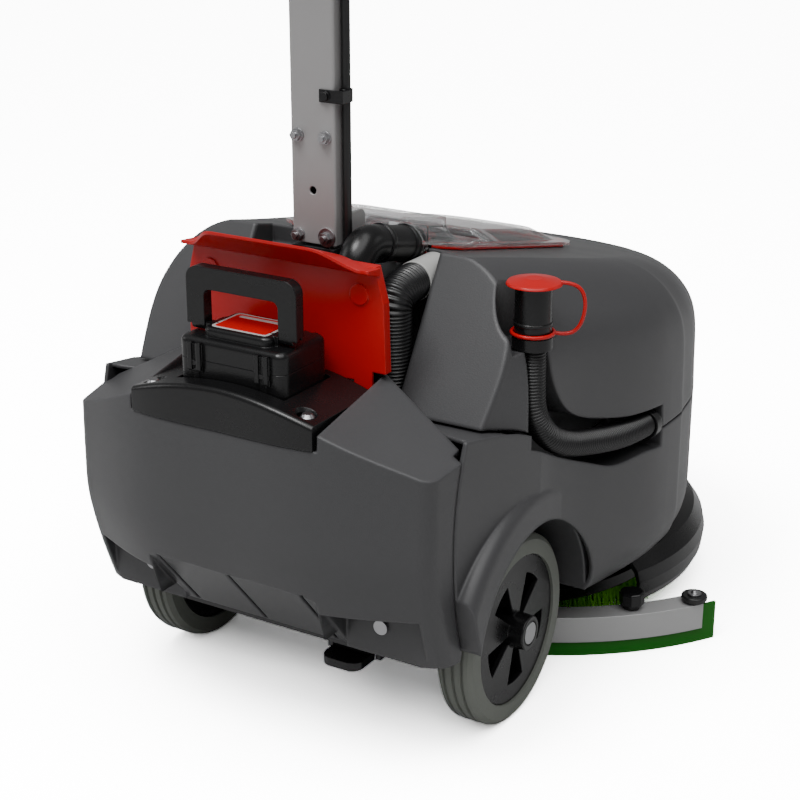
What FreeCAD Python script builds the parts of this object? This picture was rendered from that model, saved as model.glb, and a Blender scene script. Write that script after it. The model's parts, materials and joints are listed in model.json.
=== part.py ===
import FreeCAD, Part
import math
import os

import Sketcher
from FreeCAD import Placement, Rotation, Vector

# Walk-behind floor scrubber. +Z is up, the machine drives towards -Y and the operator
# stands behind it on the +Y side. Every sub-part is drawn with Y measured from the wheel
# axle, and its Placement then moves it back by axle_y, which centres the whole machine.

SIZES = {
    "axle_y": 185.3, "wheel_radius": 100.0, "tyre_width": 40.0, "tyre_bore": 79.0,
    "tread_depth": 2.5, "track_inside": 166.0, "axle_radius": 8.0, "bearing_radius": 13.0,
    "hub_bore": 13.05, "hub_barrel": 18.0, "hub_nose": 54.0, "disc_outer": 38.5,
    "spoke_gap_inner": 18.6, "spoke_gap_outer": 59.0, "spoke_gap_half_deg": 16.0, "spokes": 5,
    "shell": 4.0, "barrel_half": 260.0, "barrel_depth": 300.0, "barrel_y": -242.0,
    "waist_half": 226.0, "floor_clearance": 105.0, "seam_height": 255.0, "seam_gap": 3.0,
    "dome_height": 428.0, "dome_round": 88.0, "dome_tilt": 0.2195,
    "arch_radius": 115.0, "arch_y": 8.0, "arch_height": 108.0, "arch_inside": 152.0,
    "rear_bow": 39.5, "rear_half": 206.0, "rear_y": 178.0, "rear_bottom": 122.0,
    "chin_shift": 38.0, "flank_taper": 20.0, "shoulder_taper": 41.0,
    "tray_half": 103.0, "tray_crown": 300.0, "tray_top": 388.0, "tray_low": 346.0,
    "case_half": 60.0, "case_front": 119.0, "case_rear": 193.5, "case_top": 420.0,
    "well_floor": 300.0, "flap_y": 105.0, "flap_bottom": 389.0, "flap_top": 491.0,
    "mast_width": 50.0, "mast_depth": 31.0, "mast_wall": 2.5, "mast_front": 21.0,
    "mast_bottom": 487.0, "mast_top": 1000.0, "pin_y": 12.0, "pin_z": 474.0,
    "pin_radius": 4.0, "cable_radius": 4.5, "plate_bottom": 112.0, "plate_thick": 6.0,
    "brush_y": -333.0, "deck_radius": 256.0, "deck_bottom": 33.0, "brush_radius": 209.0,
    "bristle_height": 34.0, "blade_y": -457.0, "blade_radius": 370.0, "body_inner": 343.0,
    "body_skin": 3.4, "body_bottom": 18.0, "body_top": 48.0, "blade_thick": 3.5,
    "vac_hose_radius": 19.0,
    "vac_hose_bore": 15.5, "drain_hose_radius": 13.5, "elbow_radius": 18.0,
    "cuff_radius": 18.0, "cap_radius": 27.0, "cuff_x": -212.0, "cuff_y": -2.0,
}

doc = FreeCAD.newDocument("floor_scrubber")
dims = doc.addObject("Spreadsheet::Sheet", "dims")
for row, (alias, value) in enumerate(SIZES.items(), 1):
    dims.set("A%d" % row, alias)
    dims.set("B%d" % row, str(value))
    dims.setAlias("B%d" % row, alias)
doc.recompute()

NODES = {}
BASE_Y = {}
ALONG = {"X": Rotation(Vector(0, 1, 0), 90), "Y": Rotation(Vector(1, 0, 0), -90), "Z": Rotation()}


def dim(alias):
    """The number that the sheet holds under an alias."""
    return float(dims.get(alias))


def link(obj, **formulas):
    """Bind properties to formulas of the sheet's aliases."""
    for prop, formula in formulas.items():
        obj.setExpression(prop, str(formula))


def stand(obj, at):
    """Put a primitive at three formulas, Y counted from the axle."""
    for axis, formula in zip("xyz", at):
        obj.setExpression("Placement.Base." + axis, str(formula))
    BASE_Y[obj.Name] = str(at[1])
    return obj


def box(name, length, width, height, at):
    """A block standing on its lowest corner."""
    solid = doc.addObject("Part::Box", name)
    link(solid, Length=length, Width=width, Height=height)
    return stand(solid, at)


def rod(name, radius, height, at, along="Z"):
    """A round bar that starts at a point and runs along one axis."""
    solid = doc.addObject("Part::Cylinder", name)
    link(solid, Radius=radius, Height=height)
    solid.Placement = Placement(Vector(), ALONG[along])
    return stand(solid, at)


def cone(name, radius1, radius2, height, at, along="Z"):
    """A tapered bar, from its first radius to its second."""
    solid = doc.addObject("Part::Cone", name)
    link(solid, Radius1=radius1, Radius2=radius2, Height=height)
    solid.Placement = Placement(Vector(), ALONG[along])
    return stand(solid, at)


def fuse(name, *solids):
    """One solid from several that touch."""
    joined = doc.addObject("Part::MultiFuse", name)
    joined.Shapes = list(solids)
    joined.Refine = True
    return joined


def cut(name, base, *tools):
    """A solid less the tools."""
    result = doc.addObject("Part::Cut", name)
    result.Base = base
    result.Tool = tools[0] if len(tools) == 1 else fuse(name + "_tools", *tools)
    result.Refine = True
    return result


def group(name, *solids):
    """Separate solids of one kind, kept apart in one node."""
    kept = doc.addObject("Part::Compound", name)
    kept.Links = list(solids)
    return kept


def rounded(name, base, radius, wanted):
    """Fillet the edges of base that wanted(edge) picks."""
    doc.recompute()
    result = doc.addObject("Part::Fillet", name)
    result.Base = base
    picked = [n for n, edge in enumerate(base.Shape.Edges, 1) if wanted(edge)]
    result.Edges = [(n, radius, radius) for n in picked]
    return result


def sub_part(node, obj):
    """Name a finished sub-part and move it from the axle's frame to the machine's."""
    obj.Label = node
    obj.setExpression("Placement.Base.y", "dims.axle_y + (%s)" % BASE_Y.get(obj.Name, "0"))
    NODES[node] = obj
    return obj


def shape_part(node, shape):
    """A sub-part whose surface no primitive or feature fits."""
    obj = doc.addObject("Part::Feature", node)
    obj.Shape = shape
    obj.Placement = Placement(Vector(0, dim("axle_y"), 0), Rotation())
    obj.Label = node
    NODES[node] = obj
    return obj


def vertical(edge):
    """Whether an edge runs straight up."""
    start, end = edge.Vertexes[0].Point, edge.Vertexes[-1].Point
    return abs(start.x - end.x) < 0.01 and abs(start.y - end.y) < 0.01


def level(height):
    """Picks the edges that lie wholly at one height."""
    return lambda edge: abs(edge.BoundBox.ZMin - height) < 0.01 and edge.BoundBox.ZLength < 0.01


def body_plane(body, role):
    """One of the origin planes of a body."""
    return next(f for f in body.Origin.OriginFeatures if f.Role == role)


def new_sketch(body, name, role):
    """An empty sketch on an origin plane."""
    sketch = body.newObject("Sketcher::SketchObject", name)
    sketch.AttachmentSupport = [(body_plane(body, role), "")]
    sketch.MapMode = "FlatFace"
    return sketch


def outline(sketch, corners):
    """A closed polygon whose corners are held by dimensions bound to formulas."""
    count = len(corners)
    start = [Vector(50 + 9 * math.cos(6.283 * k / count), 50 + 9 * math.sin(6.283 * k / count), 0)
             for k in range(count)]
    for k in range(count):
        sketch.addGeometry(Part.LineSegment(start[k], start[(k + 1) % count]))
    for k in range(count):
        sketch.addConstraint(Sketcher.Constraint("Coincident", k, 2, (k + 1) % count, 1))
    for k, corner in enumerate(corners):
        for kind, formula in zip(("DistanceX", "DistanceY"), corner):
            held = sketch.addConstraint(Sketcher.Constraint(kind, -1, 1, k, 1, 50.0))
            sketch.setExpression("Constraints[%d]" % held, str(formula))


def turned(name, corners, role="XZ_Plane", axis="H_Axis"):
    """A body revolved about one axis of its own sketch."""
    body = doc.addObject("PartDesign::Body", name)
    sketch = new_sketch(body, name + "_profile", role)
    outline(sketch, corners)
    turn = body.newObject("PartDesign::Revolution", name + "_turn")
    turn.Profile = sketch
    turn.ReferenceAxis = (sketch, [axis])
    turn.Angle = 360
    return body


# ---------------------------------------------------------------- running gear

def tyre_corners():
    """Half section of a tyre: x across the tread, y out from the axle."""
    outer = "dims.wheel_radius"
    corners = [(1, "dims.tyre_bore"), (1, outer + " - 6"), (5, outer + " - 1")]
    for middle in (11, 21, 31):
        corners += [(middle - 2, outer), (middle - 1, outer + " - dims.tread_depth"),
                    (middle + 1, outer + " - dims.tread_depth"), (middle + 2, outer)]
    corners += [("dims.tyre_width - 3", outer + " - 1"), ("dims.tyre_width + 1", outer + " - 6"),
                ("dims.tyre_width + 1", "dims.tyre_bore")]
    return corners


def hub_corners():
    """Half section of a wheel centre: barrel, web and rim."""
    seat, barrel = "dims.hub_bore", "dims.hub_barrel"
    rim, face, nose = "dims.tyre_bore", "dims.disc_outer", "dims.hub_nose"
    return [(6, seat), (6, barrel), (33, barrel), (33, rim + " - 10"), (4, rim + " - 6"), (4, rim),
            (face + " - 1", rim), (face, rim + " - 1"), (face, barrel + " + 1"), (nose, barrel),
            (nose + " + 1", barrel + " - 1"), (nose + " + 1", seat), (44, seat), (44, 10),
            (16, 10), (16, seat)]


def hub(side):
    """Wheel centre with five fan-shaped gaps between its spokes."""
    body = turned("hub_" + side, hub_corners())
    sketch = new_sketch(body, "hub_gap_" + side, "YZ_Plane")
    half = math.radians(dim("spoke_gap_half_deg"))
    inner, outer = dim("spoke_gap_inner"), dim("spoke_gap_outer")
    down, centre = -math.pi / 2, Vector()

    def ray(radius, turn):
        return Vector(radius * math.cos(down + turn), radius * math.sin(down + turn), 0)

    for radius in (inner, outer):
        circle = Part.Circle(centre, Vector(0, 0, 1), radius)
        sketch.addGeometry(Part.ArcOfCircle(circle, down - half, down + half))
    sketch.addGeometry(Part.LineSegment(ray(inner, -half), ray(outer, -half)))
    sketch.addGeometry(Part.LineSegment(ray(inner, half), ray(outer, half)))
    for arc, start, end in ((0, 1, 1), (1, 1, 2)):
        sketch.addConstraint(Sketcher.Constraint("Coincident", arc, 1, 2, end if arc else start))
        sketch.addConstraint(Sketcher.Constraint("Coincident", arc, 2, 3, end if arc else start))
    for arc, alias in ((0, "dims.spoke_gap_inner"), (1, "dims.spoke_gap_outer")):
        sketch.addConstraint(Sketcher.Constraint("Coincident", arc, 3, -1, 1))
        held = sketch.addConstraint(Sketcher.Constraint("Radius", arc, 30.0 * arc + 20.0))
        sketch.setExpression("Constraints[%d]" % held, alias)
    doc.recompute()
    pocket = body.newObject("PartDesign::Pocket", "hub_pocket_" + side)
    pocket.Profile = sketch
    pocket.Type = 1
    pocket.Midplane = True
    doc.recompute()
    pattern = body.newObject("PartDesign::PolarPattern", "hub_spokes_" + side)
    pattern.Originals = [pocket]
    pattern.Axis = (body_plane(body, "X_Axis"), [""])
    pattern.Angle = 360
    pattern.setExpression("Occurrences", "dims.spokes")
    body.Tip = pattern
    return body


def wheels():
    """Tyres, hubs and bearings of the two rear wheels."""
    for side, sign in (("left", 1), ("right", -1)):
        turn = Rotation() if sign > 0 else Rotation(Vector(0, 0, 1), 180)
        for node, body in (("tyre_" + side, turned("tyre_" + side, tyre_corners())),
                           ("hub_" + side, hub(side))):
            body.Placement = Placement(Vector(), turn)
            body.setExpression("Placement.Base.x", "%d * (dims.track_inside - 1)" % sign)
            body.setExpression("Placement.Base.z", "dims.wheel_radius")
            sub_part(node, body)
    sub_part("axle", rod("axle", "dims.axle_radius", "2 * dims.track_inside + 108",
                         ("-dims.track_inside - 54", 0, "dims.wheel_radius"), "X"))
    rings, caps = [], []
    for sign in (1, -1):
        for n, (near, wide) in enumerate(((5, 9.9), (43.1, 7.9))):
            low = near if sign > 0 else -near - wide
            at = ("%d * dims.track_inside + %s" % (sign, low), 0, "dims.wheel_radius")
            race = rod("race_%d_%d" % (n, sign + 1), "dims.bearing_radius", wide, at, "X")
            bore = rod("race_bore_%d_%d" % (n, sign + 1), "dims.axle_radius", wide, at, "X")
            rings.append(cut("bearing_%d_%d" % (n, sign + 1), race, bore))
        at = ("%d * (dims.track_inside + 52.5) - 1.5" % sign, 0, "dims.wheel_radius")
        plug = rod("cap_plug_%d" % (sign + 1), 11.5, 3, at, "X")
        hole = rod("cap_hole_%d" % (sign + 1), "dims.axle_radius", 3, at, "X")
        caps.append(cut("axle_cap_%d" % (sign + 1), plug, hole))
    sub_part("wheel_bearings", group("wheel_bearings", *rings))
    sub_part("axle_nuts", group("axle_nuts", *caps))


# ---------------------------------------------------------------- chassis

def chassis():
    """Steel plate with rails over the brush deck and ears for the axle and the pedal."""
    low, thick = "dims.plate_bottom", "dims.plate_thick"
    pieces = [box("plate", 280, 302, thick, (-140, -165, low))]
    for n, x in enumerate((-132, 112)):
        pieces.append(box("rail_%d" % n, 20, 330, 26, (x, -430, low + " + " + thick)))
    for n, x in enumerate((-139, 131)):
        pieces.append(box("axle_ear_%d" % n, 8, 44, 32, (x, -22, 86)))
    for n, x in enumerate((-110, -54)):
        pieces.append(box("pedal_ear_%d" % n, 6, 26, 24, (x, 84, 89)))
    for n, y in enumerate((-430, -262)):
        pieces.append(box("cross_bar_%d" % n, 224, 24, 44, (-112, y, 100)))
    for n, y in enumerate((-70, 40)):
        pieces.append(box("side_arm_%d" % n, 304, 30, thick, (-152, y, low)))
    for n, (x, y) in enumerate(((-122, -418), (122, -418), (-122, -165), (122, -165))):
        pieces.append(rod("tank_post_%d" % n, 9, 118, (x, y, 140)))
    tools = [rod("axle_bore", "dims.axle_radius", 400, (-200, 0, "dims.wheel_radius"), "X"),
             rod("pedal_bore", "dims.pin_radius", 100, (-120, 97, 97), "X"),
             rod("hose_hole", 23, 20, (0, -98, 105))]
    for n, x in enumerate((-74, 74)):
        tools.append(rod("guide_hole_%d" % n, 6.08, 20, (x, -98, 105)))
    sub_part("chassis_frame", cut("chassis", fuse("chassis_solid", *pieces), *tools))
    foot = cut("foot_tube", box("foot_outer", 49.2, 35, 366, (-24.6, 19, 118)),
               box("foot_inner", 43.2, 29, 360, (-21.6, 22, 118)))
    lug = box("foot_lug", 43, 18, 42, (-21.5, 3, 442))
    bore = rod("foot_bore", "dims.pin_radius", 80, (-40, "dims.pin_y", "dims.pin_z"), "X")
    sub_part("mast_foot", cut("foot", fuse("foot_solid", foot, lug), bore))
    pins = [rod("mast_pin", "dims.pin_radius", 63, (-31.5, "dims.pin_y", "dims.pin_z"), "X"),
            rod("pedal_pin", "dims.pin_radius", 64, (-111, 97, 97), "X")]
    sub_part("pivot_pins", group("pivot_pins", *pins))
    pad = box("pedal_pad", 44, 34, 9, (-101, 106, 86))
    arm = box("pedal_arm", 40, 26, 9, (-99, 88, 91))
    eye = rod("pedal_eye", 8, 48, (-103, 97, 97), "X")
    blank = cut("pedal_blank", fuse("pedal_solid", pad, arm, eye),
                rod("pedal_hole", "dims.pin_radius + 0.06", 80, (-119, 97, 97), "X"))

    def pad_corner(edge):
        return vertical(edge) and edge.BoundBox.YMin > 130

    sub_part("foot_pedal", rounded("pedal", blank, 12, pad_corner))


def hidden_works():
    """The vacuum motor and the water valve inside the lower body."""
    can = rod("motor_can", 50, 72, (0, -64, 184))
    leg = rod("motor_leg", 12, 66, (0, -35, 118))
    duct = box("motor_duct", 26, 128, 10, (-64, -64, 246))
    sleeve = rod("motor_sleeve", 17.5, 64, (-52, 58, 246))
    bore = rod("motor_inlet", 15.9, 70, (-52, 58, 252))
    sub_part("vacuum_motor", cut("motor", fuse("motor_solid", can, leg, duct, sleeve), bore))
    valve = rod("valve_coil", 16, 46, (92, -130, 118))
    pipe = rod("valve_pipe", 7, 80, (92, -165, 134), "Y")
    sub_part("solution_valve", fuse("valve", valve, pipe))


# ---------------------------------------------------------------- body shells

def curve(points, start, end):
    """A smooth line through points, with its direction at both ends."""
    spline = Part.BSplineCurve()
    spline.interpolate(points, InitialTangent=start, FinalTangent=end)
    return spline.toShape()


def plan_wire(inset, height, tilt, rear_y, rear_inset=0.0):
    """The machine's outline from above: a round barrel in front, a waist, straight flanks."""
    half, depth = dim("barrel_half") - inset, dim("barrel_depth") - inset
    waist, barrel_y = dim("waist_half") - inset, dim("barrel_y")
    rear = waist - rear_inset

    def at(x, y):
        return Vector(x, y, height + tilt * (y - barrel_y))

    def flank(sign):
        steps = [k / 8 for k in range(9)]
        return [at(sign * (half - (half - waist) * (3 * f * f - 2 * f ** 3)), barrel_y * (1 - f))
                for f in steps]

    nose = [at(half * math.cos(math.pi * k / 24), barrel_y - depth * math.sin(math.pi * k / 24))
            for k in range(25)]
    forward, back = Vector(0, -1, -tilt), Vector(0, 1, tilt)
    left, right = flank(1), flank(-1)
    edges = [curve(nose, forward, back), curve(right, back, back),
             Part.LineSegment(right[-1], at(-rear, rear_y)).toShape(),
             Part.LineSegment(at(-rear, rear_y), at(rear, rear_y)).toShape(),
             Part.LineSegment(at(rear, rear_y), left[-1]).toShape(),
             curve(left[::-1], forward, forward)]
    return Part.Wire(edges)


def prism(corners, x_low, x_high):
    """A side-view polygon of (y, z) corners, extruded across the machine."""
    wire = Part.makePolygon([Vector(x_low, y, z) for y, z in corners + corners[:1]])
    return Part.Face(wire).extrude(Vector(x_high - x_low, 0, 0))


def slab(x_low, y_low, z_low, x_high, y_high, z_high):
    """A block between two corners."""
    return Part.makeBox(x_high - x_low, y_high - y_low, z_high - z_low,
                        Vector(x_low, y_low, z_low))


def flank_seam(height):
    """Y of the bowed joint between the lower body and the rear cover."""
    return math.sqrt(324.5 ** 2 - (height - 244) ** 2) - 184.5


def seam_points(low, top, gap=0.0):
    """Side view of that joint between two heights, moved back by a gap."""
    heights = [low + (top - low) * k / 16 for k in range(17)]
    return [(flank_seam(height) + gap, height) for height in heights]


def seam_line(lift):
    """Side view of the joint between tank and lower body, from rear to front."""
    seam = dim("seam_height") + lift
    return [(150, 352 + lift), (72, 338 + lift), (36, 328 + lift), (-19, 306 + lift),
            (-66, 280 + lift), (-105, seam + 3), (-130, seam), (-700, seam)]


def hose_trough(grow, x_low, x_high):
    """The groove that the drain hose lies in, from the cuff down and forward."""
    def side(*corners):
        return [Vector(x_low, y, z) for y, z in corners]

    g = grow
    rear = side((18 + g, 404), (18 + g, 306 - g))
    sill = side((18 + g, 306 - g), (-30, 284 - g), (-98, 254 - g), (-127, 243 - g),
                (-190, 239 - g), (-222 - g, 235 - g))
    roof = side((-222 - g, 283 + g), (-160, 289 + g), (-100, 303 + g), (-60 - 0.5 * g, 319 + g),
                (-36 - g, 342 + 0.5 * g), (-24 - g, 365), (-18 - g, 404))
    wire = Part.Wire([Part.LineSegment(*rear).toShape(),
                      curve(sill, Vector(0, -1, -0.35), Vector(0, -1, -0.1)),
                      Part.LineSegment(sill[-1], roof[0]).toShape(),
                      curve(roof, Vector(0, 1, 0.1), Vector(0, 0.1, 1)),
                      Part.LineSegment(roof[-1], rear[0]).toShape()])
    return Part.Face(wire).extrude(Vector(x_high - x_low, 0, 0))


def smooth_edges(shape, radius, wanted):
    """Fillet the wanted edges one call at a time, and leave one that can't be filleted."""
    edges = [edge for edge in shape.Edges if wanted(edge)]
    try:
        result = shape.makeFillet(radius, edges)
        if result.isValid():
            return result
    except (Part.OCCError, ValueError):
        pass
    print("edges left sharp:", len(edges), "at radius", radius)
    return shape


def barrel_solid(inset, bottom, top):
    """The lower body's outer or inner surface: soft lower lip, upright flanks above."""
    steps = [(0, 12), (12, 5), (24, 1.8), (36, 0.4), (48, 0)]
    taper = dim("flank_taper")
    lip = Part.makeLoft([plan_wire(inset + i, bottom + z, 0, 172, taper) for z, i in steps],
                        True, False)
    high = bottom + steps[-1][0]
    upright = Part.Face(plan_wire(inset, high, 0, 172, taper))
    return lip.fuse(upright.extrude(Vector(0, 0, top - high)))



def shoulder_shelf(sign, outer, wall):
    """A ledge that closes the tub's top between a tank shoulder and the rear cover."""
    corners = [(112, 54), (112, 92.9), (202, 116.8), (230, 116.8), (230, 54)]
    plan = Part.makePolygon([Vector(sign * x, y, 300) for x, y in corners + corners[:1]])
    ledge = Part.Face(plan).extrude(Vector(0, 0, 60)).common(outer)
    return ledge.common(prism([(400, 200)] + seam_line(-wall) + [(-700, 600), (400, 600)],
                              -320, 320))


def lower_body():
    """The grey tub around the wheels and the brush motor, open above, below and behind."""
    bottom, wall = dim("floor_clearance"), dim("shell")
    outer = barrel_solid(0, bottom, 370)
    inner = barrel_solid(wall, bottom, 380)
    arch_y, arch_z, arch = dim("arch_y"), dim("arch_height"), dim("arch_radius")
    inside = dim("arch_inside")
    above = prism([(400, 360)] + seam_line(0) + [(-700, 600), (400, 600)], -320, 320)
    behind = prism(seam_points(60, 420) + [(400, 420), (400, 60)], -320, 320)
    body = outer.cut([inner, behind])
    for sign in (1, -1):
        start = Vector(sign * inside, arch_y, arch_z)
        along = Vector(sign, 0, 0)
        liner = Part.makeCylinder(arch + wall, 72, start, along).common(outer).cut(behind)
        flare = Part.makeCylinder(arch + 38, 19, Vector(sign * 210, arch_y, arch_z), along)
        flare = flare.makeFillet(14, [e for e in flare.Edges if abs(e.CenterOfMass.x) > 228])
        flare = flare.cut([slab(-400, -400, -100, 400, 400, bottom), behind])
        body = body.fuse([liner, flare, shoulder_shelf(sign, outer, wall)])
        start = Vector(sign * (inside + wall), arch_y, arch_z)
        body = body.cut(Part.makeCylinder(arch, 120, start, along))
        shaft_gap = slab(min(sign * 140, sign * 160), -16, 60, max(sign * 140, sign * 160), 16,
                         bottom + 12)
        body = body.cut(shaft_gap)
    body = body.cut([above, slab(-400, -700, 0, 400, 400, 98)])
    groove = hose_trough(0, -300, -196)
    liner = hose_trough(wall, -300, -192).common(outer).cut(above)
    body = body.fuse(liner).cut(groove)
    shape_part("lower_body", body.removeSplitter())


def tank_surface(inset):
    """The recovery tank's outer or inner surface: a barrel with a large round shoulder."""
    round_, top, tilt = dim("dome_round"), dim("dome_height"), dim("dome_tilt")
    sections = [(inset, 225, 0.0), (inset, 262, 0.0), (inset + 1, 300, 0.06)]
    for degrees in (0, 20, 40, 58, 74, 86):
        turn = math.radians(degrees)
        sections.append((inset + 2 + round_ * (1 - math.cos(turn)),
                         top - inset - round_ * (1 - math.sin(turn)),
                         0.10 + (tilt - 0.10) * degrees / 86))
    taper = dim("shoulder_taper")
    wires = [plan_wire(i, z, t, 150 - 0.3 * i, taper) for i, z, t in sections]
    return Part.makeLoft(wires, True, False)


def recovery_tank():
    """The hollow upper tank with two rear shoulders, a lid opening and a hose recess."""
    lean, wall = 0.609, dim("shell")
    gap = dim("seam_gap")
    outer = tank_surface(0)
    below = prism([(-700, 0), (400, 0), (400, 360)] + seam_line(gap), -320, 320)
    behind = prism([(82 + (340 - z) * lean, z) for z in (200, 620)] + [(400, 620), (400, 200)],
                   -320, 320)
    channel = prism([(-31, 600), (-31, 456), (-6, 428), (-6, 200), (300, 200), (300, 600)],
                    -108, 108)
    cuff_x, cuff_y = dim("cuff_x"), dim("cuff_y")
    well = Part.makeCylinder(36, 200, Vector(cuff_x, cuff_y, 403))
    well = well.fuse(slab(-300, cuff_y - 27, 403, cuff_x, cuff_y + 36, 603))
    groove = hose_trough(0, -300, -196)
    body = outer.cut([below, behind, channel])
    body = smooth_edges(body, 3.5, lambda e: rear_rim(e))
    inner = tank_surface(wall)
    inner_low = prism([(-700, 0), (400, 0), (400, 360)] + seam_line(gap + wall), -320, 320)
    inner_rear = prism([(76 + (340 - z) * lean, z) for z in (200, 620)] + [(400, 620), (400, 200)],
                       -320, 320)
    keep_channel = prism([(-36, 600), (-36, 454), (-11, 426), (-11, 200), (300, 200),
                          (300, 600)], -112, 112)
    keep_groove = hose_trough(wall, -300, -192)
    keep_well = Part.makeCylinder(40, 300, Vector(cuff_x, cuff_y, 300))
    hollow = inner.cut([inner_low, inner_rear, keep_channel, keep_groove, keep_well])
    mouth = slab(-78, -318, 380, 78, -46, 620)
    inlet = slab(-80, -60, 455, -36, -20, 620)
    body = body.cut([groove, well, hollow, mouth, inlet, cuff_solid()])
    shape_part("recovery_tank", max(body.Solids, key=lambda solid: solid.Volume))


def rear_rim(edge):
    """The crisp edge where a tank shoulder's rear face meets its flank and top."""
    box_ = edge.BoundBox
    return box_.YMax > -5 and box_.YMin > -30 and box_.ZMax > 345 and edge.Length > 60 \
        and abs(edge.CenterOfMass.x) > 105 and box_.YLength > 5


def rear_section(height, inset, rear_shift):
    """The rear cover's outline at one height: flat behind, soft corners, flanks that taper."""
    half = dim("rear_half") - inset
    corner_y, bow = dim("rear_y") - rear_shift - inset, dim("rear_bow")
    soft, front = 16.0, 60.0
    wide = half + dim("flank_taper") * (1 - front / 172)

    def at(x, y):
        return Vector(x, y, height)

    def corner(sign):
        return [at(sign * half, corner_y - soft), at(sign * (half - 4), corner_y - 4.5),
                at(sign * (half - soft), corner_y + 4)]

    right, left = corner(1), corner(-1)
    rear = [left[2], at(-150, corner_y + 0.53 * bow), at(-100, corner_y + 0.92 * bow),
            at(0, corner_y + bow), at(100, corner_y + 0.92 * bow),
            at(150, corner_y + 0.53 * bow), right[2]]
    return Part.Wire([
        Part.LineSegment(at(-wide, front), at(wide, front)).toShape(),
        Part.LineSegment(at(wide, front), right[0]).toShape(),
        Part.Arc(*right).toShape(),
        curve(rear[::-1], Vector(-1, 0.42, 0), Vector(-1, -0.42, 0)),
        Part.Arc(*left[::-1]).toShape(),
        Part.LineSegment(left[0], at(-wide, front)).toShape()])


def rear_loft(wall):
    """The rear cover's surface: upright above, drawn in towards the chin below."""
    waist, low = 240.0, dim("rear_bottom") - 10
    sections = []
    for k in range(16):
        height = low + 19 * k
        if height < waist:
            shift = dim("chin_shift") * ((waist - height) / (waist - low)) ** 1.4
        else:
            shift = 6 * ((height - waist) / 160) ** 2
        sections.append(rear_section(height, wall, shift))
    return Part.makeLoft(sections, True, False)


def facet_cutter(sign, drop):
    """Everything above one sloping rear shoulder."""
    def height(x, y):
        return 454.4 - drop - 0.47 * abs(x) - 0.205 * y

    xs, ys = (sign * 60, sign * 260), (0, 300)
    low = [Vector(x, y, height(x, y)) for x, y in ((xs[0], ys[0]), (xs[1], ys[0]),
                                                  (xs[1], ys[1]), (xs[0], ys[1]))]
    face = Part.Face(Part.makePolygon(low + low[:1]))
    return face.extrude(Vector(0, 0, 300))


def pocket_prism(sign, grow, y_low):
    """A screw pocket's outline, swept backwards from y_low."""
    low = dim("rear_bottom") - 10
    corners = [(189 + grow, 178 + grow), (99 - grow, 178 + grow), (97 - grow, low),
               (187 + grow, low)]
    wire = Part.makePolygon([Vector(sign * x, y_low, z) for x, z in corners + corners[:1]])
    return Part.Face(wire).extrude(Vector(0, 100, 0))


def crowned_core(drop, half, y_low, y_high):
    """A half-round core under the battery tray's crown, drop below the tray's top."""
    radius = dim("tray_crown") - drop
    centre = Vector(0, y_low, dim("tray_top") - dim("tray_crown"))
    core = Part.makeCylinder(radius, y_high - y_low, centre, Vector(0, 1, 0))
    return core.common(slab(-half, y_low, 280, half, y_high, 500))


def front_wedge(sign):
    """The space in front of the rear cover's slanting front edge, above the lower body."""
    corners = [(60, 0), (60, 90), (104, 92), (202, 118), (230, 118), (230, 0)]
    wire = Part.makePolygon([Vector(sign * x, y, 300) for x, y in corners + corners[:1]])
    return Part.Face(wire).extrude(Vector(0, 0, 200))


def rear_cover():
    """The wrap-round rear moulding with sloping shoulders, an undercut chin and two pockets."""
    wall, bottom = dim("shell"), dim("rear_bottom")
    half, low = dim("tray_half") + 3.6, dim("tray_low")
    chin = prism([(146, bottom), (86, bottom - 60), (300, bottom - 60), (300, bottom + 184)],
                 -98, 98)
    chin_in = prism([(141, bottom - 2), (80, bottom - 62), (295, bottom - 62),
                     (295, bottom + 182)], -98 - wall, 98 + wall)
    facets = [facet_cutter(1, 0), facet_cutter(-1, 0)]
    full = rear_loft(0).cut(facets + [chin, slab(-300, 0, 0, 300, 300, bottom),
                                      slab(-half, 0, low, half, 240, 500)])
    hollow = rear_loft(wall).cut([facet_cutter(1, wall), facet_cutter(-1, wall), chin_in,
                                  slab(-half - wall, 0, low - wall, half + wall, 240, 500)])
    front = [front_wedge(sign) for sign in (1, -1)]
    for wedge in front:
        bulkhead = wedge.copy()
        bulkhead.translate(Vector(0, wall, 0))
        hollow = hollow.cut(bulkhead)
    liners = [pocket_prism(sign, 4, 148).common(full) for sign in (1, -1)]
    body = full.cut(hollow).fuse(liners).cut(front)
    gap = 1.2
    below = prism([(20, 100)] + seam_points(100, 330, gap) + [(20, 330)], -300, 300)
    above = prism([(20, 329)] + seam_points(329, 400, gap) + [(20, 400)], -300, 300)
    above = above.cut(slab(-200, 0, 300, 200, 300, 420))
    body = body.cut([below, above, slab(-230, 0, 0, 230, 84, 372),
                     slab(-67, 60, 300, 67, 200, 420)])
    arch_y, arch_z = dim("arch_y"), dim("arch_height")
    for sign in (1, -1):
        arch = Part.makeCylinder(dim("arch_radius"), 120, Vector(sign * 152, arch_y, arch_z),
                                 Vector(sign, 0, 0))
        hole = Part.makeCylinder(3, 30, Vector(sign * 138, 135, 154), Vector(0, 1, 0))
        body = body.cut([arch, pocket_prism(sign, 0, 152), hole])
    body = body.cut([groove_tool(x) for x in (-84, 0, 84)])
    shape_part("rear_cover", body.removeSplitter())


def groove_tool(x):
    """A round-bottomed slot down the sloping chin."""
    bottom = dim("rear_bottom")
    start, end = Vector(x, 147, bottom + 2), Vector(x, 209, bottom + 75)
    slot = Part.makeCylinder(2.8, start.distanceToPoint(end), start, end - start)
    return slot


# ---------------------------------------------------------------- lid and hoses

def lid_place():
    """The lid lies on the tank's sloping top."""
    turn = Rotation(Vector(1, 0, 0), math.degrees(math.atan(dim("dome_tilt"))))
    return Placement(Vector(0, dim("barrel_y"), dim("dome_height")), turn)


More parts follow.
